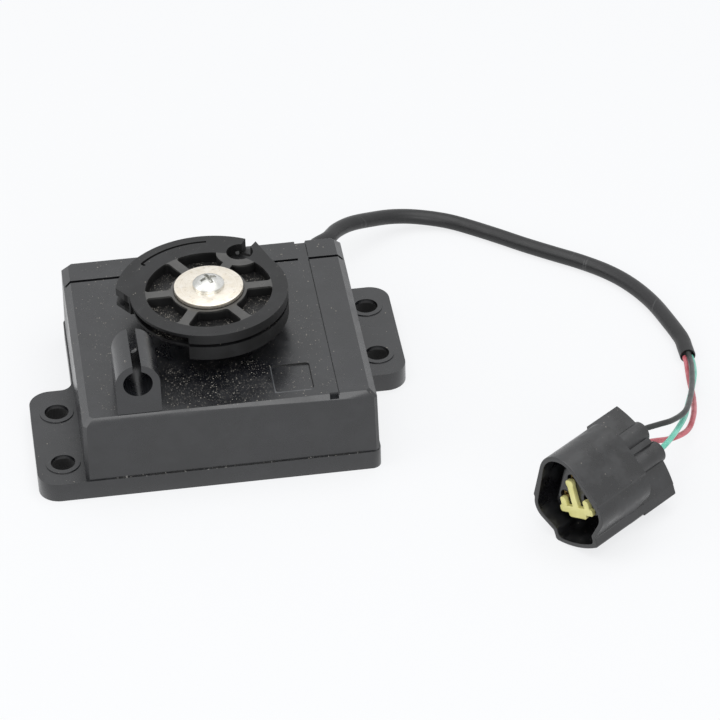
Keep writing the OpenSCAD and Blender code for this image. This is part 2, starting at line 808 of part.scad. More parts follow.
module pulley() color(plastic) {
    at_pulley() difference() {
        union() {
            translate([0, 0, pulley_z]) cylinder(h = pulley_t, r = pulley_r);
            translate([0, 0, guard_z]) linear_extrude(pulley_top - guard_z) rim_shape();
            translate([0, 0, hub_z]) cylinder(h = pulley_z - hub_z + 1, r = hub_r);
        }
        translate([0, 0, cable_z - cable_groove_w / 2]) linear_extrude(cable_groove_w) difference() {
            sector(cable_a0, guard_foot_a + 1, 2 * guard_r);
            circle(cable_floor_r);
        }
        cutback();
        translate([0, 0, part_groove_top - part_groove_h]) linear_extrude(part_groove_h) difference() {
            sector(cutback_a1 - 1, 360 + ramp_a, pulley_r + 1);
            circle(pulley_r - part_groove_depth);
        }
        translate([0, 0, pulley_top - window_depth]) linear_extrude(window_depth + 1) {
            window_shape();
            pocket_shape();
        }
        translate([0, 0, cable_z]) linear_extrude(pulley_t) slit_shape();
        translate([0, 0, pulley_z - 1]) linear_extrude(relief_h + 1) ring(window_in, window_out - 0.5);
        translate([0, 0, hub_z - 1]) cylinder(h = neck_z - hub_z + 1, r = shaft_r + fit_gap);
        translate([0, 0, neck_z - eps]) linear_extrude(pulley_t)
            flat_bar(neck_r + fit_gap, neck_flat + fit_gap);
    }
}

module pulley_washer() color(zinc) {
    at_pulley() translate([0, 0, pulley_top]) linear_extrude(washer_t) ring(thread_d / 2 + 0.15, washer_d / 2);
}

// Pan-head screw with a cross recess
module pulley_screw() color(steel) {
    head_z = pulley_top + washer_t;
    edge_h = 0.9;
    dome_r = (pow(head_d / 2, 2) + pow(head_h - edge_h, 2)) / (2 * (head_h - edge_h));
    at_pulley() difference() {
        union() {
            translate([0, 0, head_z]) intersection() {
                cylinder(h = head_h, d = head_d);
                translate([0, 0, head_h - dome_r]) sphere(dome_r);
            }
            translate([0, 0, screw_end_z])
                cylinder(h = head_z - screw_end_z + eps, d = thread_d - 2 * thread_play);
        }
        for (turn = [20, 110]) rotate(turn)
            translate([-2.2, -0.5, head_z + head_h - 1.5]) cube([4.4, 1, 3]);
    }
}

module rotor_shaft() color(steel) {
    at_pulley() difference() {
        union() {
            translate([0, 0, ring_z + ring_t]) cylinder(h = neck_z - ring_z - ring_t, r = shaft_r);
            translate([0, 0, ring_z - eps]) cylinder(h = ring_t + 2 * eps, r = ring_groove_r);
            translate([0, 0, shaft_z0]) linear_extrude(ring_z - shaft_z0) flat_bar(shaft_r, foot_flat);
            translate([0, 0, neck_z - eps]) linear_extrude(shaft_top - neck_z + eps)
                flat_bar(neck_r, neck_flat);
        }
        translate([0, 0, screw_tap_z]) cylinder(h = shaft_top, d = thread_d);
    }
}

module thrust_washer() color([0.85, 0.85, 0.8]) {
    at_pulley() translate([0, 0, collar_top + seat_gap]) linear_extrude(thrust_t)
        ring(shaft_r + fit_gap, hub_r);
}

module retaining_ring() color(steel) {
    at_pulley() translate([0, 0, ring_z]) linear_extrude(ring_t) difference() {
        ring(ring_groove_r + fit_gap, ring_r);
        translate([0, -ring_groove_r]) square([ring_r + 1, 2 * ring_groove_r]);
    }
}

module wiper_carrier() color([0.75, 0.72, 0.66]) {
    at_pulley() difference() {
        union() {
            translate([0, 0, carrier_z]) cylinder(h = carrier_t, r = carrier_r);
            translate([0, 0, carrier_z]) cylinder(h = carrier_hub_z - carrier_z, r = shaft_r + 2);
            rotate(arm_a) translate([0, -arm_w / 2, carrier_z]) cube([arm_r, arm_w, carrier_t]);
        }
        translate([0, 0, carrier_z - 1]) linear_extrude(pulley_t)
            flat_bar(shaft_r + fit_gap, foot_flat + fit_gap);
    }
}

// Two bent contact fingers under the carrier
module wiper_contacts() color(brass) {
    board_top = board_z + board_t;
    for (r = track_radii) at_pulley() rotate(120) translate([r - 0.9, 0, 0]) rotate([90, 0, 90])
        linear_extrude(1.8) polygon([
            [-3, carrier_z], [-3, carrier_z - 0.3], [-0.6, carrier_z - 0.3], [3, board_top + 0.05],
            [4.2, board_top + 0.4], [4, board_top + 0.6], [3, board_top + 0.35],
            [-0.3, carrier_z]]);
}

module lead_grommet() color(dark_rubber) {
    nose_y = wall_out_y + 0.15;
    translate([exit_x, 0, exit_z]) rotate([-90, 0, 0]) rotate_extrude() polygon([
        [jacket_d / 2, grommet_y0], [grommet_flange_r, grommet_y0], [grommet_flange_r, room_y],
        [grommet_r, room_y], [grommet_r, nose_y], [grommet_flange_r - 0.2, nose_y],
        [grommet_flange_r - 0.2, nose_y + 1.2], [grommet_r - 0.2, nose_y + 2],
        [jacket_d / 2 + 0.7, nose_y + grommet_nose_len], [jacket_d / 2, nose_y + grommet_nose_len]]);
}

module lead_jacket() color(dark_rubber) path_tube(jacket_route, jacket_d / 2, [[0, 0, 1]]);

// Points of an arc, and the points of a half outline on the other side
function arc(mid, r, a0, a1, steps = 8) =
    [for (k = [0:steps]) mid + polar(r, a0 + (a1 - a0) * k / steps)];
function mirrored(p) = [for (i = [len(p) - 1:-1:0]) [-p[i][0], p[i][1]]];

// Right half of the shroud's outline, from its top to its lowest point, narrower by inset
function bow_a(inset) = asin((skirt_w - skirt_cut - inset) / (bow_r - inset));
function shroud_half(inset) = concat(
    arc(crown_mid, crown_r - inset, 90, side_a),
    inset > 0 ? [] : [crease],
    arc(lobe_mid, lobe_r - inset, lobe_a0, lobe_a1),
    [[skirt_w - inset, skirt_neck + 0.4 * inset], [skirt_w - inset, skirt_foot + skirt_cut + inset]],
    arc([0, skirt_low + bow_r], bow_r - inset, bow_a(inset) - 90, -90, 4));

module shroud_shape(inset) {
    half = shroud_half(inset);
    polygon(concat(half, [for (q = mirrored(half)) if (abs(q[0]) > eps) q]));
}

module at_plug() {
    translate([plug_at[0], plug_at[1], plug_z]) rotate([0, 0, plug_yaw]) rotate([90, 0, -90])
        rotate(plug_roll) children();
}

// The same turns for a point of the plug, so that a wire's route can end on it
function plug_point(x, y, z) =
    let (u = x * cos(plug_roll) - y * sin(plug_roll), v = x * sin(plug_roll) + y * cos(plug_roll))
    [plug_at[0] + u * sin(plug_yaw) - z * cos(plug_yaw),
        plug_at[1] - u * cos(plug_yaw) - z * sin(plug_yaw), plug_z + v];

function wire_end(i, out) = plug_point(cavities[i][0], cavities[i][1], -plug_len - seat_lobe_len - out);

// A wire's route with its last two points at the plug
function wire_path(route, i) = concat(route, [wire_end(i, 2), wire_end(i, 0)]);

module wire_black() color([0.1, 0.1, 0.1]) path_tube(wire_path(black_route, 0), wire_d / 2, [[0, 0, 1]]);
module wire_green() color([0.3, 0.75, 0.6]) path_tube(wire_path(green_route, 1), wire_d / 2, [[0, 0, 1]]);
module wire_red() color([0.8, 0.25, 0.25]) path_tube(wire_path(red_route, 2), wire_d / 2, [[0, 0, 1]]);

// A triangle with round corners: its sides touch three equal circles, each drawn in short steps
module round_triangle(top, side, low, r) {
    steps = 10;
    c = [[0, top], [side, low], [-side, low]];
    polygon([for (i = [0:2])
        let (a = outward(c[i] - c[(i + 2) % 3]), b = outward(c[(i + 1) % 3] - c[i]))
        for (k = [0:steps]) c[i] + polar(r, a - (a - b + 360) % 360 * k / steps)]);
}

// Rear part of the plug: one large curved face over the wires, and the skirt below
module rear_shape() {
    intersection() {
        translate(saddle_at) circle(saddle_r);
        polygon([
            [-5.6, 11.9], [12, 11.9], [12, skirt_neck], [skirt_w, skirt_neck], [skirt_w, skirt_foot],
            [skirt_w - skirt_cut, skirt_foot - 0.4], [skirt_cut - skirt_w, skirt_foot - 0.4],
            [-skirt_w, skirt_foot], [-skirt_w, -7], [-8.6, -4.5], [-8.6, 1], [-7.4, 5.5]]);
    }
}

module at_cavities() {
    for (c = cavities) translate(c) children();
}

// Shroud of the plug: a shell round the inner block, open at the mouth
module plug_housing() color(plastic) {
    at_plug() translate([0, 0, -shroud_depth]) linear_extrude(shroud_depth) difference() {
        shroud_shape(0);
        shroud_shape(shroud_wall);
    }
}

// Inner block with the fronts of the contact cavities
module plug_core() color(plastic) {
    at_plug() translate([0, 0, -shroud_depth]) linear_extrude(shroud_depth - tower_back) difference() {
        round_triangle(tower_top, tower_side, tower_low, tower_r);
        at_cavities() circle(cavity_r);
    }
}

// Solid rear of the plug, with a round seat for each wire's seal
module plug_body() color(plastic) {
    seat_z = -plug_len - seat_lobe_len;
    at_plug() difference() {
        union() {
            translate([0, 0, -shroud_len]) linear_extrude(shroud_len - shroud_depth) shroud_shape(0);
            translate([0, 0, -plug_len]) linear_extrude(plug_len - shroud_len) rear_shape();
            translate([0, 0, seat_z]) linear_extrude(plug_len + seat_lobe_len - shroud_len)
                at_cavities() circle(seat_lobe_r);
        }
        translate([0, 0, seat_z - 1]) linear_extrude(plug_len + 2) at_cavities() circle(cavity_r);
        translate([0, 0, seat_z - 1]) linear_extrude(wire_seal_len + 1)
            at_cavities() circle(wire_seal_r);
    }
}

// Pale retainer across the inner block: a bar with a lower tab, a middle stem and two short arms
module plug_retainer() color([0.93, 0.9, 0.6]) {
    at_plug() translate([0, 0, -tower_back]) linear_extrude(retainer_t) {
        translate([-5.6, -4.5]) round_rect(11.2, 1.9, 0.6);
        translate([-3, -5.7]) round_rect(6, 2.2, 0.7);
        translate([-0.95, -3.8]) round_rect(1.9, 8, 0.6);
        translate([-1.2, 3]) round_rect(2.4, 2, 0.8);
        for (side = [-1, 1]) translate([side * 3.9 - 0.9, -3.6]) round_rect(1.8, 3.4, 0.8);
    }
}

module plug_contacts() color(brass) {
    at_plug() translate([0, 0, -tower_back - 1 - contact_len]) linear_extrude(contact_len)
        at_cavities() difference() {
            circle(contact_r);
            square([1.5, 0.7], center = true);
        }
}

module wire_seals() color([0.75, 0.72, 0.68]) {
    at_plug() translate([0, 0, -plug_len - seat_lobe_len]) linear_extrude(wire_seal_len - 0.5)
        at_cavities() circle(wire_seal_r);
}

base_plate();
base_seal();
base_screws();
housing_cover();
cable_stop();
rear_cap();
shaft_bush();
shaft_seal();
return_spring();
resistance_board();
terminal_pins();
inner_leads();
pulley();
pulley_washer();
pulley_screw();
rotor_shaft();
thrust_washer();
retaining_ring();
wiper_carrier();
wiper_contacts();
lead_grommet();
lead_jacket();
wire_black();
wire_green();
wire_red();
plug_housing();
plug_core();
plug_body();
plug_retainer();
plug_contacts();
wire_seals();
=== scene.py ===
"""Looks of the throttle potentiometer: moulded black housing, cable pulley, lead and sealed plug."""
import math

import bmesh
import bpy
from mathutils import Matrix, Vector


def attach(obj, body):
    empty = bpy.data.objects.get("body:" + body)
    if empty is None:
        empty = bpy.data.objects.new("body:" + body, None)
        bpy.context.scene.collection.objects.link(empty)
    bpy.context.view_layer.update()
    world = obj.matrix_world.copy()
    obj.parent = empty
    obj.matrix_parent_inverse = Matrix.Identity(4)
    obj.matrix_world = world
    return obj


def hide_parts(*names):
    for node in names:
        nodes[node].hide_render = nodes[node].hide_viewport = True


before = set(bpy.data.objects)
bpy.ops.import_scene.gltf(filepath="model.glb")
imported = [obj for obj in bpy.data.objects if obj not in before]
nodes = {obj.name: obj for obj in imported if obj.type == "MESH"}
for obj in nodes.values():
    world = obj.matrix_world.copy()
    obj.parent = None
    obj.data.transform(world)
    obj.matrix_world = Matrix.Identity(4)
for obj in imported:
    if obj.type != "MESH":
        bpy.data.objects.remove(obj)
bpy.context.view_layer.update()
MM = 0.001

# Camera

CAMERA_TARGET = Vector((39.09, 10.80, 0.0)) * MM
CAMERA_DISTANCE = 1036.1 * MM
CAMERA_AZIMUTH = math.radians(-7.05)
CAMERA_ELEVATION = math.radians(36.61)
CAMERA_ROLL = math.radians(-1.67)
CAMERA_LENS = 193.69
CAMERA_SENSOR = 36
CAMERA_CLIP = (0.05, 20)


def make_camera():
    """The photograph's own camera."""
    back = Vector((
        math.sin(CAMERA_AZIMUTH) * math.cos(CAMERA_ELEVATION),
        -math.cos(CAMERA_AZIMUTH) * math.cos(CAMERA_ELEVATION),
        math.sin(CAMERA_ELEVATION)))
    side = Vector((0, 0, 1)).cross(back).normalized()
    up = back.cross(side)
    c, s = math.cos(CAMERA_ROLL), math.sin(CAMERA_ROLL)
    x_axis = side * c + up * s
    y_axis = up * c - side * s
    data = bpy.data.cameras.new("camera")
    data.lens = CAMERA_LENS
    data.sensor_width = CAMERA_SENSOR
    data.clip_start, data.clip_end = CAMERA_CLIP
    camera = bpy.data.objects.new("camera", data)
    camera.matrix_world = Matrix.Translation(CAMERA_TARGET + back * CAMERA_DISTANCE) @ \
        Matrix((x_axis, y_axis, back)).transposed().to_4x4()
    bpy.context.scene.collection.objects.link(camera)
    bpy.context.scene.camera = camera


make_camera()

# Mesh helpers

# Gaps within which points are merged, in metres: in a copy, and after pieces are joined
SAME_POINT = 2e-7
CLOSE_POINT = 2e-6
# Faces that meet at less than the first angle are one face, and at more than the second get rounded
FLAT_ANGLE = math.radians(0.6)
BENT_ANGLE = math.radians(30)
ROUND_SEGMENTS = 2
# Edges sharper than these stay crisp when a piece or a cord is shaded smooth
CRISP_DEGREES = 35
CORD_CRISP_DEGREES = 50
FLAT_WEIGHT = 50
# Lowest height of any point, just above the floor
FLOOR_GAP = 0.02 * MM


def add_object(name, mesh):
    """Links a mesh as an object at the origin."""
    piece = bpy.data.objects.new(name, mesh)
    bpy.context.scene.collection.objects.link(piece)
    return piece


def mesh_from(name, points, faces):
    """A mesh from its points and the faces between them."""
    mesh = bpy.data.meshes.new(name)
    mesh.from_pydata([tuple(p) for p in points], [], faces)
    mesh.validate()
    mesh.update()
    return mesh


def smooth_by_angle(piece, degrees):
    """Shades a piece smooth, with edges sharper than the angle kept crisp."""
    for face in piece.data.polygons:
        face.use_smooth = True
    piece.data.set_sharp_from_angle(angle=math.radians(degrees))


def apply_modifiers(piece):
    """Turns a piece with its modifiers into a plain mesh."""
    depsgraph = bpy.context.evaluated_depsgraph_get()
    mesh = bpy.data.meshes.new_from_object(piece.evaluated_get(depsgraph))
    piece.modifiers.clear()
    piece.data = mesh


def clean(bm, gap):
    """Merges points closer than the gap, and removes edges inside flat faces."""
    bmesh.ops.remove_doubles(bm, verts=bm.verts, dist=gap)
    bmesh.ops.dissolve_limit(bm, angle_limit=FLAT_ANGLE, verts=bm.verts, edges=bm.edges)


def cleaned_copy(node):
    """A plain copy of a CAD node: no doubled points, no edges inside flat faces, no stored normals."""
    mesh = nodes[node].data.copy()
    mesh.materials.clear()
    if "custom_normal" in mesh.attributes:
        mesh.attributes.remove(mesh.attributes["custom_normal"])
    bm = bmesh.new()
    bm.from_mesh(mesh)
    clean(bm, SAME_POINT)
    bm.to_mesh(mesh)
    bm.free()
    return add_object(node + "_copy", mesh)


def joined(piece, other):
    """Joins another mesh to a piece, and removes the other object."""
    change = piece.modifiers.new("join", "BOOLEAN")
    change.operation = "UNION"
    change.solver = "EXACT"
    change.object = other
    apply_modifiers(piece)
    bpy.data.objects.remove(other)


def rounded(piece, width, share=None, flat=True):
    """Rounds the edges of a piece by a width in millimetres.

    share() gives how much of the width an edge end gets, 0 to 1, and flat keeps flat faces evenly lit."""
    bm = bmesh.new()
    bm.from_mesh(piece.data)
    clean(bm, CLOSE_POINT)
    weight = bm.edges.layers.float.new("bevel_weight_edge")
    for edge in bm.edges:
        bent = edge.is_manifold and edge.calc_face_angle(0) > BENT_ANGLE
        edge[weight] = max(share(v.co) for v in edge.verts) if bent and share else float(bent)
    bm.to_mesh(piece.data)
    bm.free()
    bevel = piece.modifiers.new("round", "BEVEL")
    bevel.limit_method = "WEIGHT"
    bevel.width = width * MM
    bevel.segments = ROUND_SEGMENTS
    bevel.use_clamp_overlap = True
    bevel.miter_outer = "MITER_ARC"
    apply_modifiers(piece)
    smooth_by_angle(piece, CRISP_DEGREES)
    if flat:
        shade = piece.modifiers.new("flat", "WEIGHTED_NORMAL")
        shade.mode = "FACE_AREA"
        shade.weight = FLAT_WEIGHT
        shade.keep_sharp = True
        apply_modifiers(piece)


def moulding(name, node_names, width, share=None, flat=True):
    """One rounded piece that stands for one or more CAD nodes moulded in one."""
    piece = cleaned_copy(node_names[0])
    piece.name = name
    piece.data.name = name
    for other in node_names[1:]:
        joined(piece, cleaned_copy(other))
    rounded(piece, width, share, flat)
    # One corner of the plug's solid lies just below the floor, and is levelled here
    for point in piece.data.vertices:
        point.co.z = max(point.co.z, FLOOR_GAP)
    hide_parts(*node_names)
    return piece


# Lead: the same routes as the solids, made smooth

JACKET_ROUTE = [
    (30, 31.45, 12), (30, 37, 12), (30, 43.8, 12), (31.8, 48.2, 11.8), (34, 50.6, 11.5),
    (36.5, 53, 11), (38.7, 56.5, 10.5), (41.7, 59.7, 9.8), (45, 62.3, 8.9), (49.8, 65.2, 7.4),
    (55.4, 68.2, 5.6), (61.1, 69.5, 4.2), (67, 69.2, 3.1), (72.6, 67.5, 2.4), (78, 64.1, 2.1),
    (84.7, 58.7, 2.1), (91.3, 53.1, 2.1), (98.2, 47.7, 2.1), (105.1, 42.4, 2.1),
    (111.5, 36.3, 2.1), (116.5, 29.3, 2.1), (120.5, 20.6, 2.1), (123.2, 10.8, 2.1),
    (124.9, 3, 2.1), (125, -0.5, 2.1), (125, -5.1, 2.1)]
BLACK_ROUTE = [
    (125, -5.1, 3.1), (125, -7.2, 3.1), (124.4, -12, 4.5), (123.5, -16.8, 5.8),
    (121.8, -24.8, 7.9), (119.3, -33.9, 10.4), (116, -42.9, 13.2), (111.6, -48.6, 15.3),
    (107.4, -51.7, 16.8)]
GREEN_ROUTE = [
    (125.8, -5.1, 1.7), (125.8, -7.2, 1.7), (125.3, -11.3, 2.4), (124.2, -16.4, 3.6),
    (121.7, -24.8, 5.6), (119.2, -32.3, 7.4), (116.4, -40.8, 9.8), (112.9, -48.3, 11.9),
    (109.6, -54.1, 13.3)]
RED_ROUTE = [
    (124.2, -5.1, 1.7), (124.2, -7.2, 1.7), (123.8, -11, 1.4), (123.1, -16.6, 2),
    (122.1, -25.6, 3.6), (120.2, -34.6, 5.3), (116.9, -42.6, 6.8), (111.9, -47.1, 8.2),
    (106.4, -49.5, 9.8)]
JACKET_R = 2.1
JACKET_SIDES = 24
WIRE_R = 0.75
WIRE_SIDES = 16
# The hollow in the jacket's cut end: its width as a share of the outside, and its depth
JACKET_HOLLOW = (0.86, 1.4)
# Length of cord for one step of its UV map
UV_STEP = 10
# Length of each wire that runs straight into its seal
WIRE_ENTRY = 2

# Pose of the plug, as the solids have it
PLUG_AT = (79, -74.9, 13.29)
PLUG_YAW = math.radians(38)
PLUG_ROLL = math.radians(19.3)
# Distance from the plug's origin to its rear face, where the wires go in
PLUG_END = 30.3
# Each wire's place on that rear face
CAVITIES = [(0, 4.6), (4, -0.4), (-4, -0.4)]


def plug_point(x, y, z):
    """A point of the plug's own frame, whose z runs out of the mouth, in the row frame."""
    u = x * math.cos(PLUG_ROLL) - y * math.sin(PLUG_ROLL)
    v = x * math.sin(PLUG_ROLL) + y * math.cos(PLUG_ROLL)
    return Vector((
        PLUG_AT[0] + u * math.sin(PLUG_YAW) - z * math.cos(PLUG_YAW),
        PLUG_AT[1] - u * math.cos(PLUG_YAW) - z * math.sin(PLUG_YAW),
        PLUG_AT[2] + v))


def wire_path(route, cavity):
    """A wire's route with its last straight stretch, into one of the plug's cavities."""
    x, y = CAVITIES[cavity]
    entry = [plug_point(x, y, -PLUG_END - WIRE_ENTRY), plug_point(x, y, -PLUG_END)]
    return [Vector(p) for p in route] + entry


def smooth_path(points, step):
    """A smooth line through all the points, with one point about every step."""
    points = [Vector(p) for p in points]
    padded = [2 * points[0] - points[1]] + points + [2 * points[-1] - points[-2]]
    line = []
    for a, b, c, d in zip(padded, padded[1:], padded[2:], padded[3:]):
        count = max(1, round((c - b).length / step))
        for k in range(count):
            t = k / count
            line.append(0.5 * ((2 * b) + (c - a) * t + (2 * a - 5 * b + 4 * c - d) * t * t
                               + (3 * b - a - 3 * c + d) * t * t * t))
    line.append(points[-1])
    return line


def hollow_end(bm, ring, middle, inward, wall, depth):
    """Opens the closed end of a tube into a short hollow with a wall."""
    lip = [bm.verts.new(middle + (v.co - middle) * wall) for v in ring]
    floor = [bm.verts.new(v.co + inward * depth) for v in lip]
    count = len(ring)
    for k in range(count):
        m = (k + 1) % count
        bm.faces.new((ring[k], ring[m], lip[m], lip[k]))
        bm.faces.new((lip[k], lip[m], floor[m], floor[k]))
    bm.faces.new(floor)


def unwrap(mesh, line, sides):
    """Keeps the length along a tube and the turn round it as UV."""
    uv = mesh.uv_layers.new(name="along")
    run = [0.0]
    for a, b in zip(line, line[1:]):
        run.append(run[-1] + (b - a).length)
    for face in mesh.polygons:
        corners = [mesh.loops[i].vertex_index for i in face.loop_indices]
        wraps = len(corners) == 4 and {c % sides for c in corners} == {0, sides - 1}
        for i, c in zip(face.loop_indices, corners):
            turn = c % sides
            uv.data[i].uv = (run[c // sides] / UV_STEP, (sides if wraps and turn == 0 else turn) / sides)


def tube_mesh(name, line, radius, sides, hollow=None):
    """A closed round tube along a line, with its length and its turn kept as UV."""
    rings = []
    up = Vector((0, 0, 1))
    for i, p in enumerate(line):
        ahead = (line[min(i + 1, len(line) - 1)] - line[max(i - 1, 0)]).normalized()
        up = (up - ahead * up.dot(ahead)).normalized()
        across = ahead.cross(up)
        rings.append([p + radius * (math.cos(a) * up + math.sin(a) * across)
                      for a in (2 * math.pi * k / sides for k in range(sides))])
    points = [p for ring in rings for p in ring]
    faces = [(i * sides + k, i * sides + (k + 1) % sides,
              (i + 1) * sides + (k + 1) % sides, (i + 1) * sides + k)
             for i in range(len(line) - 1) for k in range(sides)]
    faces.append(tuple(range(sides - 1, -1, -1)))
    faces.append(tuple((len(line) - 1) * sides + k for k in range(sides)))
    mesh = mesh_from(name, [p * MM for p in points], faces)
    unwrap(mesh, line, sides)
    bm = bmesh.new()
    bm.from_mesh(mesh)
    if hollow:
        bm.faces.ensure_lookup_table()
        end = bm.faces[len(bm.faces) - 1]
        ring = list(end.verts)
        bm.faces.remove(end)
        hollow_end(bm, ring, line[-1] * MM, (line[-2] - line[-1]).normalized() * MM, *hollow)
    bmesh.ops.recalc_face_normals(bm, faces=bm.faces)
    bm.to_mesh(mesh)
    bm.free()
    return mesh


def make_cord(name, node, points, radius, sides, hollow=None):
    """A tube along the route, and the line that it follows."""
    line = smooth_path(points, 0.8 * radius)
    cord = add_object(name, tube_mesh(name, line, radius, sides, hollow))
    smooth_by_angle(cord, CORD_CRISP_DEGREES)
    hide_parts(node)
    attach(cord, "housing")
    return cord, line


def make_wire(tint, route, cavity):
    """One of the three thin wires, from the jacket's end into the plug."""
    return make_cord(f"wire_{tint}_smooth", f"wire_{tint}", wire_path(route, cavity), WIRE_R, WIRE_SIDES)


jacket, jacket_line = make_cord("lead_jacket_smooth", "lead_jacket", JACKET_ROUTE, JACKET_R, JACKET_SIDES,
                                JACKET_HOLLOW)
black_wire, black_line = make_wire("black", BLACK_ROUTE, 0)
green_wire, green_line = make_wire("green", GREEN_ROUTE, 1)
red_wire, red_line = make_wire("red", RED_ROUTE, 2)

# Materials

PULLEY_AXIS = (-1.2, -1.0)
# Inner and outer radius of the thin arc cut in the pulley's ring
ARC_SLIT = (21.15, 21.85)
# Width over which a ring zone fades, in millimetres
RING_FADE = 0.3
# Cells per metre of the two sizes of dust
COARSE_DUST = 2000.0
FINE_DUST = 4300.0
# Turning marks per metre, outwards from the pulley's axis
TURNING_MARKS = 2600.0
# Roughness and colour that wiped marks add where smudge is 1
SMUDGE_STEP = 0.16


class Nodes:
    """Short names for building a node tree."""

    def __init__(self, tree):
        self.tree = tree

    def add(self, kind, inputs=None, **settings):
        node = self.tree.nodes.new("ShaderNode" + kind)
        for key, value in settings.items():
            setattr(node, key, value)
        for key, value in (inputs or {}).items():
            self.put(node.inputs[key], value)
        return node

    def put(self, socket, value):
        if isinstance(value, bpy.types.NodeSocket):
            self.tree.links.new(value, socket)
        else:
            socket.default_value = value

    def math(self, operation, a, b=0.0, clamp=False):
        node = self.add("Math", {0: a, 1: b}, operation=operation, use_clamp=clamp)
        return node.outputs[0]

    def ramp(self, value, low, high, to_low=0.0, to_high=1.0):
        node = self.add("MapRange", {"Value": value, "From Min": low, "From Max": high,
                                     "To Min": to_low, "To Max": to_high},
                        interpolation_type="SMOOTHSTEP")
        return node.outputs["Result"]

    def mix(self, factor, a, b):
        # A colour mix has its two colours at 6 and 7, and its result at 2
        node = self.add("Mix", data_type="RGBA")
        self.put(node.inputs[0], factor)
        self.put(node.inputs[6], a)
        self.put(node.inputs[7], b)
        return node.outputs[2]

    def noise(self, vector, scale, detail=2.0, roughness=0.5):
        node = self.add("TexNoise", {"Vector": vector, "Scale": scale, "Detail": detail,
                                     "Roughness": roughness})
        return node.outputs["Fac"]


def new_group(name, inputs, outputs):
    """A shader node group; inputs map a name to its default, vectors to None."""
    group = bpy.data.node_groups.new(name, "ShaderNodeTree")
    for key, value in inputs.items():
        kind = "NodeSocketVector" if value is None else "NodeSocketFloat"
        socket = group.interface.new_socket(key, in_out="INPUT", socket_type=kind)
        if value is not None:
            socket.default_value = value
    for key in outputs:
        group.interface.new_socket(key, in_out="OUTPUT", socket_type="NodeSocketFloat")
    build = Nodes(group)
    return group, build, group.nodes.new("NodeGroupInput").outputs, group.nodes.new("NodeGroupOutput").inputs


def make_grain_group():
    """Moulded surface: fine grain, faint flow marks and slow changes of tone."""
    group, n, given, gives = new_group("moulded_grain", {"Vector": None, "Grain": 2600.0},
                                       ["Height", "Tone"])
    fine = n.noise(given["Vector"], given["Grain"], 3.0, 0.6)
    coarse = n.noise(given["Vector"], 420.0, 2.0)
    slow = n.noise(given["Vector"], 55.0, 3.0)
    n.put(gives["Height"], n.math("ADD", n.math("MULTIPLY", fine, 0.7), n.math("MULTIPLY", coarse, 0.3)))
    n.put(gives["Tone"], n.math("ADD", n.math("MULTIPLY", coarse, 0.35), n.math("MULTIPLY", slow, 0.65)))
    return group


def make_specks_group():
    """Loose dust: small pale specks, more of them where Amount is high."""
    group, n, given, gives = new_group("dust_specks", {"Vector": None, "Scale": 900.0, "Amount": 0.1},
                                       ["Mask"])
    warp = n.noise(given["Vector"], 700.0, 1.0)
    cells = n.add("TexVoronoi", {"Vector": given["Vector"], "Scale": given["Scale"], "Randomness": 1.0})
    chance = n.add("SeparateColor", {"Color": cells.outputs["Color"]}).outputs[0]
    size = n.math("ADD", n.math("MULTIPLY", chance, 0.9), n.math("MULTIPLY", warp, 0.25))
    near = n.math("SUBTRACT", n.math("MULTIPLY", size, 0.42), cells.outputs["Distance"])
    lit = n.ramp(near, 0.0, 0.1)
    spare = n.add("SeparateColor", {"Color": cells.outputs["Color"]}).outputs[1]
    kept = n.math("LESS_THAN", spare, given["Amount"])
    n.put(gives["Mask"], n.math("MULTIPLY", lit, kept))
    return group


def make_scuffs_group():
    """Fine scratches in two directions, broken up by noise."""
    group, n, given, gives = new_group("fine_scratches", {"Vector": None, "Amount": 0.3}, ["Mask"])
    total = None
    for turn, scale in ((0.5, (60.0, 2400.0, 60.0)), (2.2, (70.0, 1900.0, 70.0))):
        turned = n.add("VectorRotate", {"Vector": given["Vector"], "Angle": turn}, rotation_type="Z_AXIS")
        stretched = n.add("VectorMath", {0: turned.outputs[0], 1: scale}, operation="MULTIPLY")
        line = n.ramp(n.noise(stretched.outputs[0], 1.0, 2.0), 0.66, 0.74)
        total = line if total is None else n.math("MAXIMUM", total, line)
    patchy = n.ramp(n.noise(given["Vector"], 90.0, 2.0), 0.5, 0.7)
    n.put(gives["Mask"], n.math("MULTIPLY", n.math("MULTIPLY", total, patchy), given["Amount"]))
    return group


GRAIN = make_grain_group()
SPECKS = make_specks_group()
SCUFFS = make_scuffs_group()


def linear(value):
    """One channel from the 0 to 255 screen scale to the shader's own scale."""
    share = value / 255
    return share / 12.92 if share <= 0.04045 else ((share + 0.055) / 1.055) ** 2.4


def colour(r, g, b):
    """A colour given on the 0 to 255 screen scale."""
    return (linear(r), linear(g), linear(b), 1.0)


SMUDGE_GREY = colour(60, 61, 63)
SCRATCH_GREY = colour(96, 96, 96)
FILM_GREY = colour(98, 97, 95)
# Painted highlight along lit edges
EDGE_HIGHLIGHT_GREY = colour(116, 118, 121)
DUST_PALE = colour(150, 145, 136)
FLASH_PALE = colour(150, 148, 144)
SEAM_DARK = colour(4, 4, 4)
# Painted shade on the pulley's upright walls
WALL_SHADE_DARK = colour(3, 3, 3)
# Painted shade in holes, slits and recesses
UNLIT_DARK = colour(2, 2, 2)
RUBBER_SCUFF = colour(110, 110, 110)
METAL_STAIN = colour(122, 104, 84)


def new_material(name):
    """A material with one empty shader, and the place of each point in the row frame."""
    material = bpy.data.materials.new(name)
    material.use_nodes = True
    n = Nodes(material.node_tree)
    material.node_tree.nodes.clear()
    out = n.add("OutputMaterial")
    shader = n.add("BsdfPrincipled")
    n.put(out.inputs["Surface"], shader.outputs[0])
    place = n.add("TexCoord").outputs["Object"]
    return material, n, shader, place


def use_group(n, group, **inputs):
    """Puts a node group to use, and gives back its outputs."""
    node = n.add("Group", node_tree=group)
    for key, value in inputs.items():
        n.put(node.inputs[key], value)
    return node.outputs


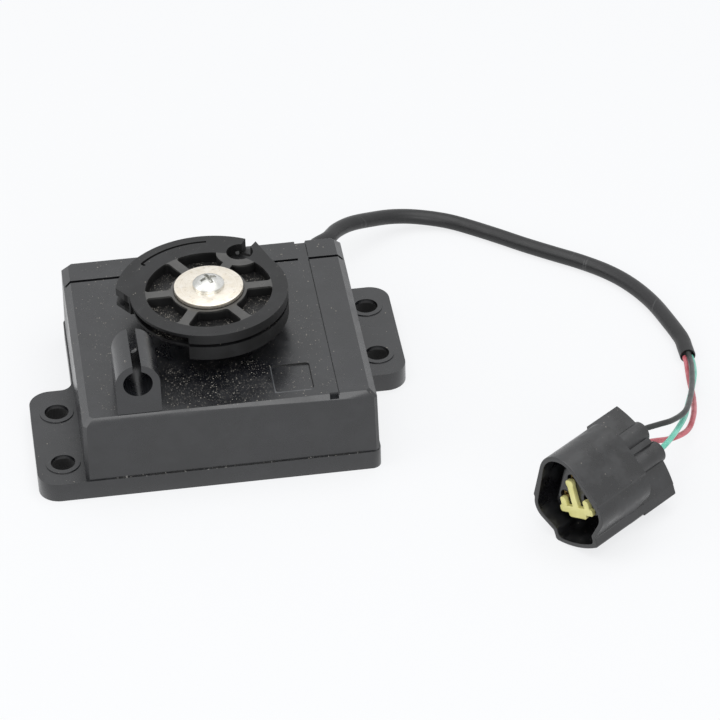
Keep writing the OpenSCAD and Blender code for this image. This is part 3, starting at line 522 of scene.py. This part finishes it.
def soft_box(n, place, low, high, edge):
    """1 inside a box in the row frame, in millimetres, fading to 0 over the edge."""
    parts = n.add("SeparateXYZ", {"Vector": place}).outputs
    total = None
    for k in range(3):
        for a, b in ((low[k] - edge, low[k]), (high[k] + edge, high[k])):
            side = n.ramp(parts[k], a * MM, b * MM)
            total = side if total is None else n.math("MULTIPLY", total, side)
    return total


def axis_radius(n, parts):
    """Distance from the pulley's axis."""
    x = n.math("SUBTRACT", parts[0], PULLEY_AXIS[0] * MM)
    y = n.math("SUBTRACT", parts[1], PULLEY_AXIS[1] * MM)
    return n.math("SQRT", n.math("ADD", n.math("MULTIPLY", x, x), n.math("MULTIPLY", y, y)))


def soft_span(n, value, low, high):
    """1 from low to high, in millimetres, fading to 0 outside."""
    return n.math("MULTIPLY", n.ramp(value, (low - RING_FADE) * MM, low * MM),
                  n.ramp(value, (high + RING_FADE) * MM, high * MM))


def ring_zone(n, place, r_in, r_out, low_z, high_z):
    """1 in a ring round the pulley's axis, in millimetres."""
    parts = n.add("SeparateXYZ", {"Vector": place}).outputs
    return n.math("MULTIPLY", soft_span(n, axis_radius(n, parts), r_in, r_out),
                  soft_span(n, parts[2], low_z, high_z))


def add_bump(n, shader, height, strength, distance):
    """Fine relief from a height."""
    bump = n.add("Bump", {"Height": height, "Strength": strength, "Distance": distance})
    n.put(shader.inputs["Normal"], bump.outputs[0])


def loose_dust(n, place, upward, zones, everywhere):
    """Two sizes of specks on faces that look up, with more of them in the zones."""
    amount = everywhere
    for low, high, edge, share in zones:
        zone = n.math("MULTIPLY", soft_box(n, place, low, high, edge), share)
        amount = n.math("MAXIMUM", amount, zone)
    coarse = use_group(n, SPECKS, Vector=place, Scale=COARSE_DUST, Amount=amount)["Mask"]
    fine = use_group(n, SPECKS, Vector=place, Scale=FINE_DUST, Amount=amount)["Mask"]
    both = n.math("MAXIMUM", coarse, n.math("MULTIPLY", fine, 0.75))
    return n.math("MULTIPLY", both, n.ramp(upward, 0.3, 0.9))


def broken_seam(n, place, box):
    """A dark line with gaps, and the pale flash that stands out of it here and there."""
    here = soft_box(n, place, *box)
    line = n.math("MULTIPLY", here, n.ramp(n.noise(place, 700.0, 4.0, 0.7), 0.42, 0.56))
    flash = n.math("MULTIPLY", here, n.ramp(n.noise(place, 1100.0, 2.0), 0.62, 0.7))
    return line, flash


def dusty_film(n, place, tone, ring):
    """A thin uneven coat of dust on a ring."""
    return n.math("MULTIPLY", ring_zone(n, place, *ring), n.ramp(tone, 0.2, 0.8, 0.4, 0.8))


def painted_edge_highlight(n, place, tone, outer, inner):
    """A painted highlight: a pale line between two boxes, patchy with the tone."""
    band = n.math("SUBTRACT", soft_box(n, place, *outer), soft_box(n, place, *inner), True)
    return n.math("MULTIPLY", band, n.ramp(tone, 0.3, 0.6, 0.2, 0.6))


def upright_faces(n, place, upward, ring):
    """The faces in a ring that stand upright."""
    return n.math("MULTIPLY", ring_zone(n, place, *ring), n.ramp(n.math("ABSOLUTE", upward), 0.6, 0.3))


def moulded_plastic(name, dark, light, rough, dust_zones=(), dust_all=0.02, grain=0.15, gloss=1.5,
                    smudge=0.5, seam=None, shaded=(), film=None, shaded_rings=(), lit_edge=None,
                    shaded_sides=None):
    """Black moulded plastic: fine grain, smudges, faint scratches and dust, and where asked, painted shade
    and painted highlights.

    gloss is the shader's IOR, and smudge is how strong the wiped marks are. seam is a box with a dark
    broken line, shaded are boxes of painted shade and lit_edge is an outer and an inner box with a
    painted highlight, a pale line, between them. The rest are rings round the pulley's axis:
    shaded_rings get painted shade by a share, film has a thin coat of dust, shaded_sides has upright
    faces with painted shade and more roughness."""
    material, n, shader, place = new_material(name)
    shader.inputs["IOR"].default_value = gloss
    surface = use_group(n, GRAIN, Vector=place)
    tone = surface["Tone"]
    upward = n.add("SeparateXYZ", {"Vector": n.add("NewGeometry").outputs["Normal"]}).outputs[2]
    scratch = n.math("MULTIPLY", use_group(n, SCUFFS, Vector=place, Amount=0.3)["Mask"],
                     n.ramp(upward, 0.7, 0.95))
    dust = loose_dust(n, place, upward, dust_zones, dust_all)
    wiped = n.math("MULTIPLY", n.ramp(n.noise(place, 130.0, 4.0, 0.62), 0.42, 0.66), SMUDGE_STEP * smudge)

    base = n.mix(n.ramp(tone, 0.3, 0.7), dark, light)
    worn = n.ramp(tone, 0.3, 0.7, rough + 0.04, rough - 0.04)
    base = n.mix(wiped, base, SMUDGE_GREY)
    base = n.mix(scratch, base, SCRATCH_GREY)
    if film:
        base = n.mix(dusty_film(n, place, tone, film), base, FILM_GREY)
    # Painted highlight: a pale line along the lit edges of a recess
    if lit_edge:
        base = n.mix(painted_edge_highlight(n, place, tone, *lit_edge), base, EDGE_HIGHLIGHT_GREY)
    # Painted shade: upright faces in the ring are darkened, patchily, towards near black, and made rougher
    if shaded_sides:
        upright = upright_faces(n, place, upward, shaded_sides)
        worn = n.math("MAXIMUM", worn, n.math("MULTIPLY", upright, 0.5))
        side_shade = n.math("MULTIPLY", upright, n.ramp(tone, 0.35, 0.6, 0.9, 0.3))
        base = n.mix(side_shade, base, WALL_SHADE_DARK)
    worn = n.math("ADD", worn, wiped)
    worn = n.math("MAXIMUM", worn, n.math("MULTIPLY", dust, 0.9))
    if seam:
        line, flash = broken_seam(n, place, seam)
        base = n.mix(n.math("MULTIPLY", line, 0.9), base, SEAM_DARK)
        base = n.mix(n.math("MULTIPLY", flash, 0.7), base, FLASH_PALE)
        worn = n.math("MAXIMUM", worn, line)
    # Painted shade: these boxes and rings are darkened towards near black and made rougher
    unlit = [soft_box(n, place, *box) for box in shaded]
    unlit += [n.math("MULTIPLY", ring_zone(n, place, *ring), share) for ring, share in shaded_rings]
    for painted_shade in unlit:
        base = n.mix(painted_shade, base, UNLIT_DARK)
        worn = n.math("MAXIMUM", worn, painted_shade)
    base = n.mix(n.math("MULTIPLY", dust, 0.9), base, DUST_PALE)

    n.put(shader.inputs["Base Color"], base)
    n.put(shader.inputs["Roughness"], worn)
    add_bump(n, shader, surface["Height"], grain, 0.06 * MM)
    return material


def rubber(name, dark, light, rough):
    """Soft rubber: coarse grain and faint pale scuffs."""
    material, n, shader, place = new_material(name)
    surface = use_group(n, GRAIN, Vector=place, Grain=1800.0)
    scratch = use_group(n, SCUFFS, Vector=place, Amount=0.4)["Mask"]
    base = n.mix(n.ramp(surface["Tone"], 0.3, 0.7), dark, light)
    n.put(shader.inputs["Base Color"], n.mix(scratch, base, RUBBER_SCUFF))
    n.put(shader.inputs["Roughness"], n.ramp(surface["Tone"], 0.3, 0.7, rough + 0.06, rough - 0.06))
    add_bump(n, shader, surface["Height"], 0.25, 0.05 * MM)
    return material


def wire_cover(name, dark, light):
    """Smooth wire insulation with slight changes of tone along it."""
    material, n, shader, place = new_material(name)
    tone = n.noise(place, 300.0, 3.0)
    n.put(shader.inputs["Base Color"], n.mix(n.ramp(tone, 0.35, 0.65), dark, light))
    n.put(shader.inputs["Roughness"], n.ramp(tone, 0.3, 0.7, 0.42, 0.3))
    add_bump(n, shader, n.noise(place, 1500.0, 2.0), 0.15, 0.04 * MM)
    return material


def plated_metal(name, dark, light, rough, spots=0.25, turned=False):
    """Plated metal: dull patches, fine pits and a few stains, and turning marks where it is a disc."""
    material, n, shader, place = new_material(name)
    patch = n.noise(place, 420.0, 4.0, 0.65)
    pits = n.noise(place, 3200.0, 2.0)
    if turned:
        radius = axis_radius(n, n.add("SeparateXYZ", {"Vector": place}).outputs)
        across = n.add("CombineXYZ", {"X": n.math("MULTIPLY", radius, TURNING_MARKS)})
        marks = n.noise(across.outputs[0], 1.0, 3.0)
        patch = n.math("ADD", n.math("MULTIPLY", patch, 0.55), n.math("MULTIPLY", marks, 0.45))
        pits = marks
    stain = n.ramp(n.noise(place, 900.0, 3.0), 0.56, 0.68)
    base = n.mix(n.ramp(patch, 0.35, 0.65), dark, light)
    base = n.mix(n.math("MULTIPLY", stain, spots), base, METAL_STAIN)
    n.put(shader.inputs["Base Color"], base)
    shader.inputs["Metallic"].default_value = 1.0
    n.put(shader.inputs["Roughness"], n.ramp(patch, 0.3, 0.7, rough + 0.1, rough - 0.08))
    add_bump(n, shader, pits, 0.2, 0.05 * MM)
    return material


def plain_plastic(name, dark, light, rough):
    """Clean moulded plastic in one colour."""
    material, n, shader, place = new_material(name)
    surface = use_group(n, GRAIN, Vector=place)
    n.put(shader.inputs["Base Color"], n.mix(n.ramp(surface["Tone"], 0.35, 0.65), dark, light))
    n.put(shader.inputs["Roughness"], n.ramp(surface["Tone"], 0.3, 0.7, rough + 0.06, rough - 0.04))
    add_bump(n, shader, surface["Height"], 0.2, 0.04 * MM)
    return material


# Zones in millimetres: a box is its low corner, high corner, fade and share, and a ring is its inner
# and outer radius and its lowest and highest z
HOUSING_DUST = [
    ((-14, -31, 23.0), (8, -18, 24.6), 6, 0.38),
    ((-30, -30, 23.0), (24, 30, 24.6), 6, 0.1)]
PULLEY_DUST = [((-17, -17, 28), (15, 15, 34.0), 0.5, 0.6)]
FOOT_SEAM = ((-31, -37, 5.35), (34, -33, 5.7), 0.12)
# Painted shade inside the ear holes
EAR_HOLES = [((-46.6, -30.8, -1), (-39.8, -2.2, 4.2), 0.6), ((39.8, 2.2, -1), (46.6, 30.8, 4.2), 0.6)]
SPOKE_FILM = (9.4, 16.3, 36.2, 37)
# Ring whose upright faces get painted shade and more roughness
PULLEY_SIDES = (9, 26, 26, 38)
# Painted shade in the thin arc slit, fully, and on the windows' floors, by a share
SHADED_RINGS = (((ARC_SLIT[0], ARC_SLIT[1], 28, 36.3), 1.0), ((9.4, 18.4, 28, 35.5), 0.4))
# Painted highlight on the label recess's left and front edges, where they catch the light
PANEL_EDGE = (((11.9, -31.65, 23.8), (21.2, -20.8, 24.3), 0.1),
              ((12.3, -31.2, 23.0), (22.4, -19.6, 25.0), 0.1))
# Painted shade on the label recess's rear and right walls
PANEL_WALLS = [((12.8, -20.15, 23.6), (21.4, -19.98, 24.04), 0.15),
               ((21.85, -30.7, 23.6), (22.02, -20.6, 24.04), 0.15)]

housing_black = moulded_plastic("housing_black", colour(13, 14, 17), colour(22, 23, 27), 0.27,
                                HOUSING_DUST, gloss=1.68, smudge=0.6, seam=FOOT_SEAM,
                                shaded=EAR_HOLES + PANEL_WALLS, lit_edge=PANEL_EDGE)
pulley_black = moulded_plastic("pulley_black", colour(10, 10, 11), colour(17, 17, 18), 0.3,
                               PULLEY_DUST, gloss=1.45, smudge=0.9, film=SPOKE_FILM,
                               shaded_rings=SHADED_RINGS, shaded_sides=PULLEY_SIDES)
plug_black = moulded_plastic("plug_black", colour(13, 13, 14), colour(22, 22, 24), 0.26,
                             dust_all=0.01, gloss=1.65, smudge=1.6)
jacket_black = rubber("jacket_black", colour(18, 18, 19), colour(28, 28, 29), 0.42)
seal_black = rubber("seal_black", colour(16, 16, 16), colour(24, 24, 24), 0.6)
seal_pale = rubber("seal_pale", colour(128, 122, 112), colour(148, 142, 130), 0.55)
wire_black_cover = wire_cover("wire_black_cover", colour(26, 28, 27), colour(40, 43, 41))
wire_green_cover = wire_cover("wire_green_cover", colour(108, 200, 176), colour(132, 216, 194))
wire_red_cover = wire_cover("wire_red_cover", colour(188, 84, 94), colour(212, 118, 126))
washer_zinc = plated_metal("washer_zinc", colour(226, 217, 201), colour(244, 238, 227), 0.36, 0.2,
                           turned=True)
screw_zinc = plated_metal("screw_zinc", colour(192, 192, 188), colour(222, 222, 219), 0.3, 0.12)
spring_steel = plated_metal("spring_steel", colour(140, 140, 142), colour(170, 170, 172), 0.35, 0.1)
contact_brass = plated_metal("contact_brass", colour(190, 158, 96), colour(214, 184, 120), 0.34, 0.2)
bush_bronze = plated_metal("bush_bronze", colour(150, 112, 70), colour(172, 132, 88), 0.5, 0.2)
retainer_yellow = plain_plastic("retainer_yellow", colour(214, 208, 128), colour(232, 226, 154), 0.42)
carrier_pale = plain_plastic("carrier_pale", colour(196, 192, 180), colour(212, 208, 198), 0.5)
board_green = plain_plastic("board_green", colour(30, 84, 48), colour(42, 104, 60), 0.4)

# Pieces that stand for CAD nodes with their edges rounded

PLUG_AXIS = (plug_point(0, 0, 1) - plug_point(0, 0, 0)).normalized()
# Depth of the plug's shroud, and how near to its rear plane a point counts as on it
SHROUD_DEPTH = 13
SEAT_REACH = 0.02
# The roof's fine cuts lie above this height and within these half widths
ROOF_CUT_Z = 22.5
ROOF_HALF = (34.6, 33.4)
# How far beyond the thin arc its edges still count as on it
SLIT_REACH = 0.1


def plug_share(point):
    """No rounding on the plane where the plug's shroud meets its rear."""
    depth = (point / MM - Vector(PLUG_AT)).dot(PLUG_AXIS)
    return 0.0 if abs(depth + SHROUD_DEPTH) < SEAT_REACH else 1.0


def cover_share(point):
    """Crisper edges on the fine cuts in the roof."""
    x, y, z = point / MM
    return 0.35 if z > ROOF_CUT_Z and abs(x) < ROOF_HALF[0] and abs(y) < ROOF_HALF[1] else 1.0


def pulley_share(point):
    """Crisper edges along the thin arc in the ring."""
    x, y, _ = point / MM
    radius = math.hypot(x - PULLEY_AXIS[0], y - PULLEY_AXIS[1])
    return 0.3 if ARC_SLIT[0] - SLIT_REACH < radius < ARC_SLIT[1] + SLIT_REACH else 1.0


def dress(name, node_names, width, material, body="housing", share=None, flat=True):
    """Makes a rounded piece in place of its CAD nodes, with its finish and its body."""
    piece = moulding(name, node_names, width, share, flat)
    piece.data.materials.append(material)
    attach(piece, body)
    return piece


dress("base_moulding", ["base_plate"], 0.35, housing_black)
dress("cover_moulding", ["housing_cover", "cable_stop"], 0.3, housing_black,
      share=cover_share)
dress("rear_cap_moulding", ["rear_cap"], 0.3, housing_black, share=cover_share)
dress("pulley_moulding", ["pulley"], 0.2, pulley_black, "rotor", pulley_share, flat=False)
dress("washer_disc", ["pulley_washer"], 0.25, washer_zinc, "rotor", flat=False)
dress("pan_head_screw", ["pulley_screw"], 0.18, screw_zinc, "rotor", flat=False)
plug_pieces = [
    nodes["plug_contacts"],
    nodes["wire_seals"],
    dress("plug_shroud", ["plug_housing"], 0.3, plug_black, share=plug_share),
    dress("plug_rear", ["plug_body"], 0.3, plug_black, share=plug_share),
    dress("plug_block", ["plug_core"], 0.25, plug_black, flat=False),
    dress("retainer_moulding", ["plug_retainer"], 0.2, retainer_yellow, flat=False)]

for piece, material, slot in (
        (jacket, jacket_black, "black_rubber"), (black_wire, wire_black_cover, "wire_black"),
        (green_wire, wire_green_cover, "wire_green"), (red_wire, wire_red_cover, "wire_red")):
    piece.data.materials.append(material)

for node, material in (
        ("base_seal", seal_black), ("base_screws", screw_zinc), ("shaft_bush", bush_bronze),
        ("shaft_seal", seal_black), ("return_spring", spring_steel), ("resistance_board", board_green),
        ("terminal_pins", contact_brass), ("inner_leads", wire_red_cover), ("rotor_shaft", screw_zinc),
        ("thrust_washer", carrier_pale), ("retaining_ring", spring_steel),
        ("wiper_carrier", carrier_pale), ("wiper_contacts", contact_brass),
        ("lead_grommet", seal_black), ("plug_contacts", contact_brass), ("wire_seals", seal_pale)):
    cad = nodes[node]
    cad.data.materials.clear()
    cad.data.materials.append(material)
    smooth_by_angle(cad, CRISP_DEGREES)

# Floor, backdrop and light

# Half the floor's width, in metres
FLOOR_HALF = 3.0
# Share of the floor's look that is even and pale; the rest shows shadow
FLOOR_EVEN = 0.78
PAPER_TONE = (0.86, 0.87, 0.88, 1)
FLOOR_GLOW = (0.985, 0.99, 1.0, 1)
WORLD_LIGHT = (0.95, 0.97, 1.0, 1)
WORLD_SHOWN = (0.965, 0.975, 0.985, 1)
WORLD_STRENGTH = 0.42
LAMP_TARGET = (0.03, 0.0, 0.02)


def seen_ray(n):
    """1 for rays from the camera, off a gloss or through glass, and 0 for rays that only carry light."""
    rays = n.add("LightPath").outputs
    return n.math("MAXIMUM", rays["Is Camera Ray"],
                  n.math("MAXIMUM", rays["Is Glossy Ray"], rays["Is Transmission Ray"]))


def make_floor():
    """A wide pale floor that shows soft shadows."""
    corners = [(-FLOOR_HALF, -FLOOR_HALF, 0), (FLOOR_HALF, -FLOOR_HALF, 0),
               (FLOOR_HALF, FLOOR_HALF, 0), (-FLOOR_HALF, FLOOR_HALF, 0)]
    floor = add_object("floor", mesh_from("floor", corners, [(0, 1, 2, 3)]))
    material = bpy.data.materials.new("floor_pale")
    material.use_nodes = True
    material.node_tree.nodes.clear()
    n = Nodes(material.node_tree)
    out = n.add("OutputMaterial")
    paper = n.add("BsdfDiffuse", {"Color": PAPER_TONE})
    glow = n.add("Emission", {"Color": FLOOR_GLOW, "Strength": 1.0})
    shown = n.add("MixShader", {0: FLOOR_EVEN, 1: paper.outputs[0], 2: glow.outputs[0]})
    both = n.add("MixShader", {0: seen_ray(n), 1: paper.outputs[0], 2: shown.outputs[0]})
    n.put(out.inputs["Surface"], both.outputs[0])
    floor.data.materials.append(material)


def make_lamp(name, place, size, power):
    """A soft box lamp, in metres and watts, turned towards the part."""
    data = bpy.data.lights.new(name, "AREA")
    data.shape = "RECTANGLE"
    data.size, data.size_y = size
    data.energy = power
    lamp = bpy.data.objects.new(name, data)
    lamp.location = place
    lamp.rotation_euler = (Vector(place) - Vector(LAMP_TARGET)).to_track_quat("Z", "Y").to_euler()
    bpy.context.scene.collection.objects.link(lamp)


def make_world():
    """A pale backdrop that gives less light than it shows."""
    world = bpy.data.worlds.new("studio")
    bpy.context.scene.world = world
    world.use_nodes = True
    world.node_tree.nodes.clear()
    n = Nodes(world.node_tree)
    out = n.add("OutputWorld")
    light = n.add("Background", {"Color": WORLD_LIGHT, "Strength": WORLD_STRENGTH})
    shown = n.add("Background", {"Color": WORLD_SHOWN, "Strength": 1.0})
    both = n.add("MixShader", {0: seen_ray(n), 1: light.outputs[0], 2: shown.outputs[0]})
    n.put(out.inputs["Surface"], both.outputs[0])


make_floor()
make_world()
make_lamp("overhead_box", (0.08, -0.1, 1.0), (1.2, 1.2), 7)
make_lamp("front_box", (0.1, -1.2, 0.46), (1.4, 0.6), 5)
make_lamp("left_box", (-0.7, -0.1, 0.55), (0.6, 0.6), 1.5)

bpy.context.scene.view_settings.view_transform = "Standard"
